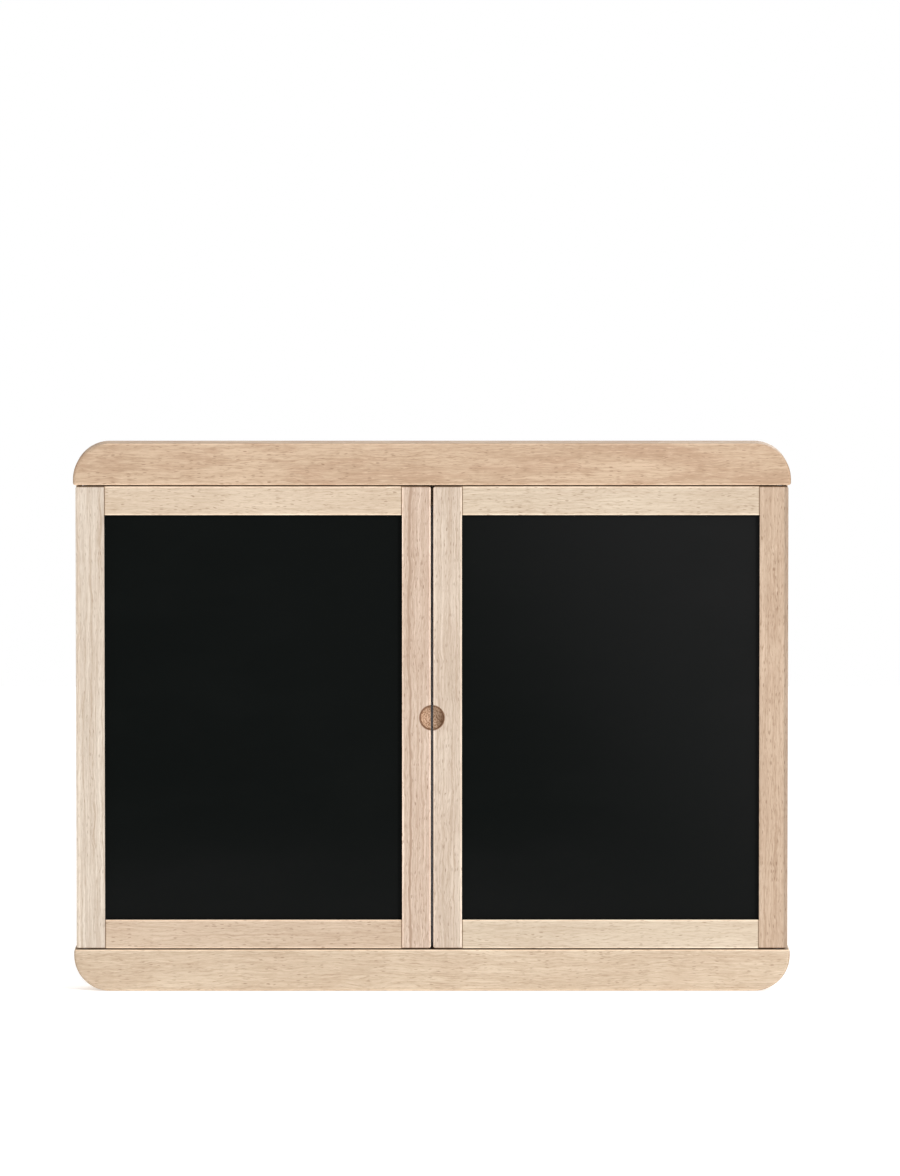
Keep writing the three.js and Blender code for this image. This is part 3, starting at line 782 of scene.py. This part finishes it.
def screw_angles():
    """Angles round a screw, with a point at each corner of its cross recess."""
    corner = math.atan(RECESS_WIDTH / RECESS_REACH)
    steps = 6
    quarter = [0, corner / 2, corner]
    quarter += [corner + (math.pi / 2 - 2 * corner) * i / steps for i in range(1, steps)]
    quarter += [math.pi / 2 - corner, math.pi / 2 - corner / 2]
    return [turn * math.pi / 2 + angle for turn in range(4) for angle in quarter]


def cross_ring(angles, grow, depth):
    """The outline of a plus sign, as one radius for each angle."""
    width, reach = RECESS_WIDTH * grow, RECESS_REACH * grow
    ring = []
    for a in angles:
        short_side, long_side = sorted((abs(math.cos(a)), abs(math.sin(a))))
        on_arm_end = short_side * reach <= width * long_side * 1.0001
        radius = reach / long_side if on_arm_end else width / short_side
        ring.append((radius * math.cos(a), radius * math.sin(a), depth))
    return ring


def thread_ring(angles, depth, start, length):
    """One ring of the thread, which deepens from its start and tapers to the screw's point."""
    taper = min(1.0, (length - depth) / POINT_LENGTH)
    fade = min(1.0, (depth - start) / THREAD_RUN_IN)
    ring = []
    for a in angles:
        turn = (depth / THREAD_PITCH - a / (2 * math.pi)) % 1.0
        crest = max(0.0, 1.0 - abs(turn - 0.5) * THREAD_SHARPNESS)
        radius = (SCREW_SHANK - THREAD_DEPTH * fade * (1 - crest)) * taper
        ring.append((radius * math.cos(a), radius * math.sin(a), depth))
    return ring


def make_screw(node, outwards):
    """A countersunk wood screw: cross recess, cone, and a thread that runs out at the point."""
    low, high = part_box(node)
    axis = Y if outwards[Y] else Z
    at = (low + high) / 2
    at[axis] = high[axis] if outwards[axis] > 0 else low[axis]
    length = high[axis] - low[axis]
    head = (high.x - low.x) / 2
    angles = screw_angles()
    rings = [cross_ring(angles, grow, RECESS_DEPTH * sunk) for grow, sunk in RECESS_LEVELS]
    rings += round_over(angles, head, SCREW_HEAD_EASE, 3)
    rings.append(circle(angles, head, SCREW_HEAD_RIM))
    rings.append(circle(angles, SCREW_SHANK, SCREW_HEAD_DEPTH))
    start = SCREW_HEAD_DEPTH + THREAD_RUN_IN
    depth = start
    while depth < length - POINT_MARGIN:
        rings.append(thread_ring(angles, depth, start, length))
        depth += THREAD_PITCH / RINGS_PER_TURN
    rings.append(circle(angles, POINT_RADIUS, length))
    return loft(f"threaded_{node}", rings, facing(at, outwards))


def disc_at(node, front):
    """(radius, thickness, middle of the shown face) of a disc whose axis is Y."""
    low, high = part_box(node)
    face = Vector(((low.x + high.x) / 2, front(low.y, high.y), (low.z + high.z) / 2))
    return (high.x - low.x) / 2, high.y - low.y, face


def make_magnet(node):
    """A pot magnet: a thin steel cup round a nickel disc, with a groove between them."""
    radius, depth, at = disc_at(node, min)
    groove_out = radius - CUP_WALL
    groove_in = groove_out - GROOVE_WIDTH
    angles = even_angles(ROUND_COUNT)
    rings = [circle(angles, MAGNET_CENTRE, 0.0)]
    rings += round_over(angles, groove_in, MAGNET_EASE, 3)
    rings += [circle(angles, groove_in, GROOVE_DEPTH), circle(angles, groove_out, GROOVE_DEPTH)]
    rings += [circle(angles, groove_out, CUP_EDGE), circle(angles, groove_out + CUP_EDGE, 0.0)]
    rings += round_over(angles, radius, CUP_EASE, 4)
    rings += [circle(angles, radius, depth - CUP_EASE), circle(angles, radius - CUP_EASE, depth)]
    return loft(f"pot_{node}", rings, facing(at, (0, -1, 0)))


def make_strike(node):
    """A turned steel disc with a broken rim, faint rings from the lathe and a centre mark."""
    radius, depth, at = disc_at(node, max)
    angles = even_angles(ROUND_COUNT)
    rings = [circle(angles, MARK_POINT, MARK_DEPTH), circle(angles, MARK_RADIUS, 0.0)]
    for i in range(LATHE_MARKS):
        mark = LATHE_START + (radius - LATHE_MARGIN) * i / LATHE_MARKS
        rings.append(circle(angles, mark, LATHE_DEPTH * (i % 2)))
    rings += round_over(angles, radius, STRIKE_EASE, 4)
    rings.append(circle(angles, radius, depth - STRIKE_BACK_EASE))
    rings.append(circle(angles, radius - STRIKE_BACK_EASE, depth))
    return loft(f"turned_{node}", rings, facing(at, (0, 1, 0)))


def make_hardware(zinc_screw, nickel, steel):
    for side in SIDES:
        for count in (1, 2):
            node = f"hanger_screw_{side}_{count}"
            finish_piece(make_screw(node, (0, 1, 0)), node, "frame", zinc_screw)
        node = f"catch_screw_{side}"
        finish_piece(make_screw(node, (0, 0, -1)), node, "frame", zinc_screw)
        node = f"catch_magnet_{side}"
        finish_piece(make_magnet(node), node, "frame", nickel)
        node = f"door_{side}_strike"
        finish_piece(make_strike(node), node, f"{side}_door", steel)


def metal(name, colour, roughness, line_sizes=LINES_ACROSS):
    """Plated steel with fine drawn lines and faint blotches."""
    skin = Skin(name)
    lines = skin.noise(skin.scaled(*line_sizes), 3.0, 0.6)
    blotch = skin.noise(skin.scaled(BLOTCH_SIZE), 3.0)
    tone = skin.mix(skin.ramp(blotch, 0.35, 0.7), colour, times(colour, 0.86, 0.87, 0.9))
    tone = skin.over(tone, lines, 0.4, times(colour, 0.8))
    rough = skin.added(blotch, 0.16, roughness)
    skin.set(Base_Color=tone, Metallic=1.0, Roughness=rough)
    skin.bump(lines, 0.00002, 0.5)
    return skin.material


def moulded_nylon(name):
    skin = Skin(name)
    grain = skin.noise(skin.scaled(NYLON_GRAIN), 3.0)
    skin.set(Base_Color=skin.mix(grain, NYLON_PALE, NYLON_DARK), Roughness=0.45)
    skin.bump(grain, 0.00003, 0.4)
    return skin.material


def dowel_wood(name):
    """Turned beech rod: pale, with short fibres."""
    skin = Skin(name)
    fibre = skin.noise(skin.scaled(DOWEL_GRAIN), 4.0, 0.6)
    colour = linear(*DOWEL_COLOUR)
    dark = times(colour, 0.76, 0.72, 0.66)
    skin.set(Base_Color=skin.mix(skin.ramp(fibre, 0.3, 0.75), times(colour, 1.06), dark), Roughness=0.7)
    skin.bump(fibre, 0.00008, 0.5)
    return skin.material


def dress_small_pieces():
    zinc = metal("zinc_plate", ZINC, 0.28)
    zinc_screw = metal("zinc_screw", YELLOWED_ZINC, 0.26)
    steel = metal("turned_steel", STEEL, 0.24, LINES_ALONG_X)
    nickel = metal("nickel_magnet", NICKEL, 0.14)
    nylon = moulded_nylon("moulded_nylon")
    wood = dowel_wood("dowel_wood")
    finishes = {
        "hanger_plate": zinc,
        "pivot_bush": nylon,
        "_pin_": steel,
        "_dowel_": wood,
    }
    for node in NODES:
        for part, material in finishes.items():
            if part in node:
                assign(node, material)
                break
    make_hardware(zinc_screw, nickel, steel)


# --- how the CAD pieces are shown -----------------------------------------------------------------

def assign(node, material):
    mesh = NODES[node].data
    mesh.materials.clear()
    mesh.materials.append(material)


def soften(node, width, segments):
    """Smooth shading, and every sharp edge of the piece eased by a small bevel."""
    piece = NODES[node]
    smooth(piece)
    weld = piece.modifiers.new("weld", "WELD")
    weld.merge_threshold = WELD
    bevel = piece.modifiers.new("eased_edges", "BEVEL")
    bevel.width = width
    bevel.segments = segments
    bevel.limit_method = "ANGLE"
    bevel.angle_limit = EDGE_ANGLE
    bevel.miter_outer = "MITER_ARC"
    bevel.use_clamp_overlap = True
    normals = piece.modifiers.new("flat_faces", "WEIGHTED_NORMAL")
    normals.weight = FLAT_FACE_WEIGHT
    normals.keep_sharp = True


def soften_all():
    for node in NODES:
        if NODES[node].hide_render:
            continue
        if node in BEECH_PIECES:
            soften(node, *WOOD_EDGE)
        elif "board" in node:
            soften(node, *BOARD_EDGE)
        else:
            soften(node, *SMALL_EDGE)


# --- stage, light and camera ----------------------------------------------------------------------

def make_floor():
    low = CAD_BOX[0]
    mesh = bpy.data.meshes.new("floor")
    reach = (-FLOOR_REACH, FLOOR_REACH)
    points = [(x, y, low.z) for y in reach for x in reach]
    mesh.from_pydata(points, [], [(0, 1, 3, 2)])
    floor = bpy.data.objects.new("floor", mesh)
    bpy.context.scene.collection.objects.link(floor)
    skin = Skin("floor_paper")
    white = (FLOOR_WHITE,) * 3
    skin.set(Base_Color=white, Roughness=1.0, Specular_IOR_Level=0.0)
    skin.set(Emission_Color=white, Emission_Strength=FLOOR_GLOW)
    mesh.materials.append(skin.material)


def make_world():
    """A pale room that lights everything softly, paler overhead, and shows as plain white."""
    world = bpy.data.worlds.new("studio")
    bpy.context.scene.world = world
    world.use_nodes = True
    tree = world.node_tree
    tree.nodes.clear()
    path = tree.nodes.new("ShaderNodeLightPath")
    place = tree.nodes.new("ShaderNodeTexCoord")
    parts = tree.nodes.new("ShaderNodeSeparateXYZ")
    rise = tree.nodes.new("ShaderNodeMapRange")
    glow = tree.nodes.new("ShaderNodeBackground")
    seen = tree.nodes.new("ShaderNodeBackground")
    blend = tree.nodes.new("ShaderNodeMixShader")
    output = tree.nodes.new("ShaderNodeOutputWorld")
    rise.interpolation_type = "SMOOTHSTEP"
    rise.inputs["From Min"].default_value, rise.inputs["From Max"].default_value = ROOM_RISE
    rise.inputs["To Min"].default_value = ROOM_LOW
    rise.inputs["To Max"].default_value = ROOM_HIGH
    for background in (glow, seen):
        background.inputs["Color"].default_value = (1.0, 1.0, 1.0, 1.0)
    seen.inputs["Strength"].default_value = 1.0
    tree.links.new(place.outputs["Generated"], parts.inputs[0])
    tree.links.new(parts.outputs["Z"], rise.inputs["Value"])
    tree.links.new(rise.outputs["Result"], glow.inputs["Strength"])
    tree.links.new(path.outputs["Is Camera Ray"], blend.inputs[0])
    tree.links.new(glow.outputs[0], blend.inputs[1])
    tree.links.new(seen.outputs[0], blend.inputs[2])
    tree.links.new(blend.outputs[0], output.inputs["Surface"])


def shine_from(lamp, direction):
    """Turns a lamp so that its light comes from that direction."""
    lamp.rotation_mode = "QUATERNION"
    lamp.rotation_quaternion = direction.to_track_quat("Z", "Y")
    bpy.context.scene.collection.objects.link(lamp)


def make_lights():
    middle = (CAD_BOX[0] + CAD_BOX[1]) / 2
    level = math.cos(KEY_ELEVATION)
    towards = Vector((
        math.sin(KEY_AZIMUTH) * level, -math.cos(KEY_AZIMUTH) * level, math.sin(KEY_ELEVATION)))
    panel = bpy.data.lights.new("key", "AREA")
    panel.shape = "DISK"
    panel.size = KEY_SIZE
    panel.energy = KEY_POWER
    key = bpy.data.objects.new("key", panel)
    key.location = middle + towards * KEY_DISTANCE
    key.visible_camera = False
    shine_from(key, towards)
    for name, sun in SUNS.items():
        light = bpy.data.lights.new(name, "SUN")
        light.energy = sun["strength"]
        light.angle = sun["width"]
        shine_from(bpy.data.objects.new(name, light), Vector(sun["towards"]))


def make_camera():
    low, high = CAD_BOX
    middle = (low + high) / 2
    back = Vector((0.0, -math.cos(CAMERA_ELEVATION), math.sin(CAMERA_ELEVATION)))
    data = bpy.data.cameras.new("camera")
    data.lens = CAMERA_LENS
    data.clip_start, data.clip_end = CAMERA_RANGE
    camera = bpy.data.objects.new("camera", data)
    camera.location = middle + back * CAMERA_DISTANCE
    target = middle + Vector((AIM_RIGHT, 0.0, AIM_ABOVE))
    camera.rotation_mode = "QUATERNION"
    camera.rotation_quaternion = (target - camera.location).to_track_quat("-Z", "Y")
    bpy.context.scene.collection.objects.link(camera)
    bpy.context.scene.camera = camera


bpy.context.scene.view_settings.view_transform = "Standard"
dress_beech()
dress_boards()
dress_small_pieces()
soften_all()
make_floor()
make_world()
make_lights()
make_camera()
